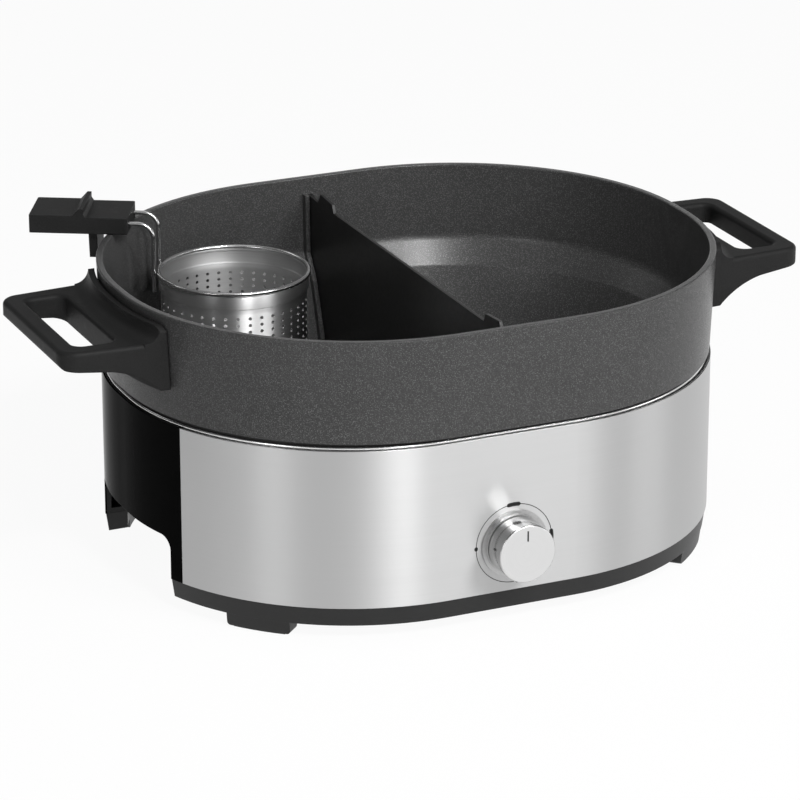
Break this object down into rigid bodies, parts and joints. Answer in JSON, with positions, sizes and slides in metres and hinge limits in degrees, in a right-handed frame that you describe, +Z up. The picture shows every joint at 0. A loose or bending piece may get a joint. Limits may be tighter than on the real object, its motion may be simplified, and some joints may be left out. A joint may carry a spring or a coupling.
{
  "type": "electric hot pot",
  "caption": "Oval electric hot pot: coated cast pot with side handles and a lift-out cross wall on a steel-clad heater base with a front knob, and a hanging sieve basket.",
  "frame": {"origin": "on the table, under the middle of the whole outline", "axes": "+X to the right handle, +Y to the back, +Z up; the knob faces -Y"},
  "size_m": [0.463, 0.315, 0.1931],
  "materials": {
    "black_plastic": "satin",
    "dark_grey_plastic": "matt",
    "handle_plastic": "fine grain",
    "gloss_black": "gloss",
    "rubber": "matt",
    "brushed_steel": "brushed along the band",
    "bright_steel": "polished",
    "screw_steel": "plain",
    "heater_steel": "oxidised",
    "bright_trim": "polished",
    "knob_metal": "satin",
    "bare_aluminium": "pressed sheet",
    "coated_cast": "speckled non-stick coat",
    "coated_plate": "smooth non-stick coat",
    "white_ceramic": "unglazed"
  },
  "bodies": {
    "base": {"front_ring": "black_plastic", "rear_ring": "black_plastic", "foot_pads": "rubber", "ring_screws": "screw_steel", "front_panel": "brushed_steel", "rear_panel": "brushed_steel", "left_end_panel": "gloss_black", "right_end_panel": "gloss_black", "inner_shell": "black_plastic", "bottom_cover": "dark_grey_plastic", "cover_screws": "screw_steel", "top_collar": "black_plastic", "trim_ring": "bright_trim", "reflector_tray": "bare_aluminium", "heating_element": "heater_steel", "element_clips": "white_ceramic", "thermostat_body": "white_ceramic", "thermostat_bracket": "screw_steel", "bracket_screws": "screw_steel", "terminal_block": "white_ceramic", "thermal_fuse": "white_ceramic", "fuse_strap": "screw_steel", "cord_gland": "rubber", "knob_bezel": "bright_trim"},
    "knob": {"control_knob": "knob_metal", "knob_shaft": "screw_steel"},
    "pot": {"pot": "coated_cast", "left_pot_handle": "handle_plastic", "right_pot_handle": "handle_plastic", "handle_screws": "screw_steel"},
    "divider": {"divider_plate": "coated_plate"},
    "basket": {"basket_cup": "bright_steel", "basket_wires": "bright_steel", "basket_grip": "handle_plastic"}
  },
  "joints": [
    {"name": "knob_turn", "type": "hinge", "parent": "base", "child": "knob", "pos_m": [0, -0.1395, 0.0476], "axis": [0, 1, 0], "range_deg": [-180, 90]},
    {"name": "pot_lift", "type": "slide", "parent": "base", "child": "pot", "axis": [0, 0, 1], "range_m": [0, 0.06]},
    {"name": "divider_lift", "type": "slide", "parent": "pot", "child": "divider", "axis": [0, 0, 1], "range_m": [0, 0.11]},
    {"name": "basket_lift", "type": "slide", "parent": "pot", "child": "basket", "axis": [0, 0, 1], "range_m": [0, 0.085]}
  ]
}
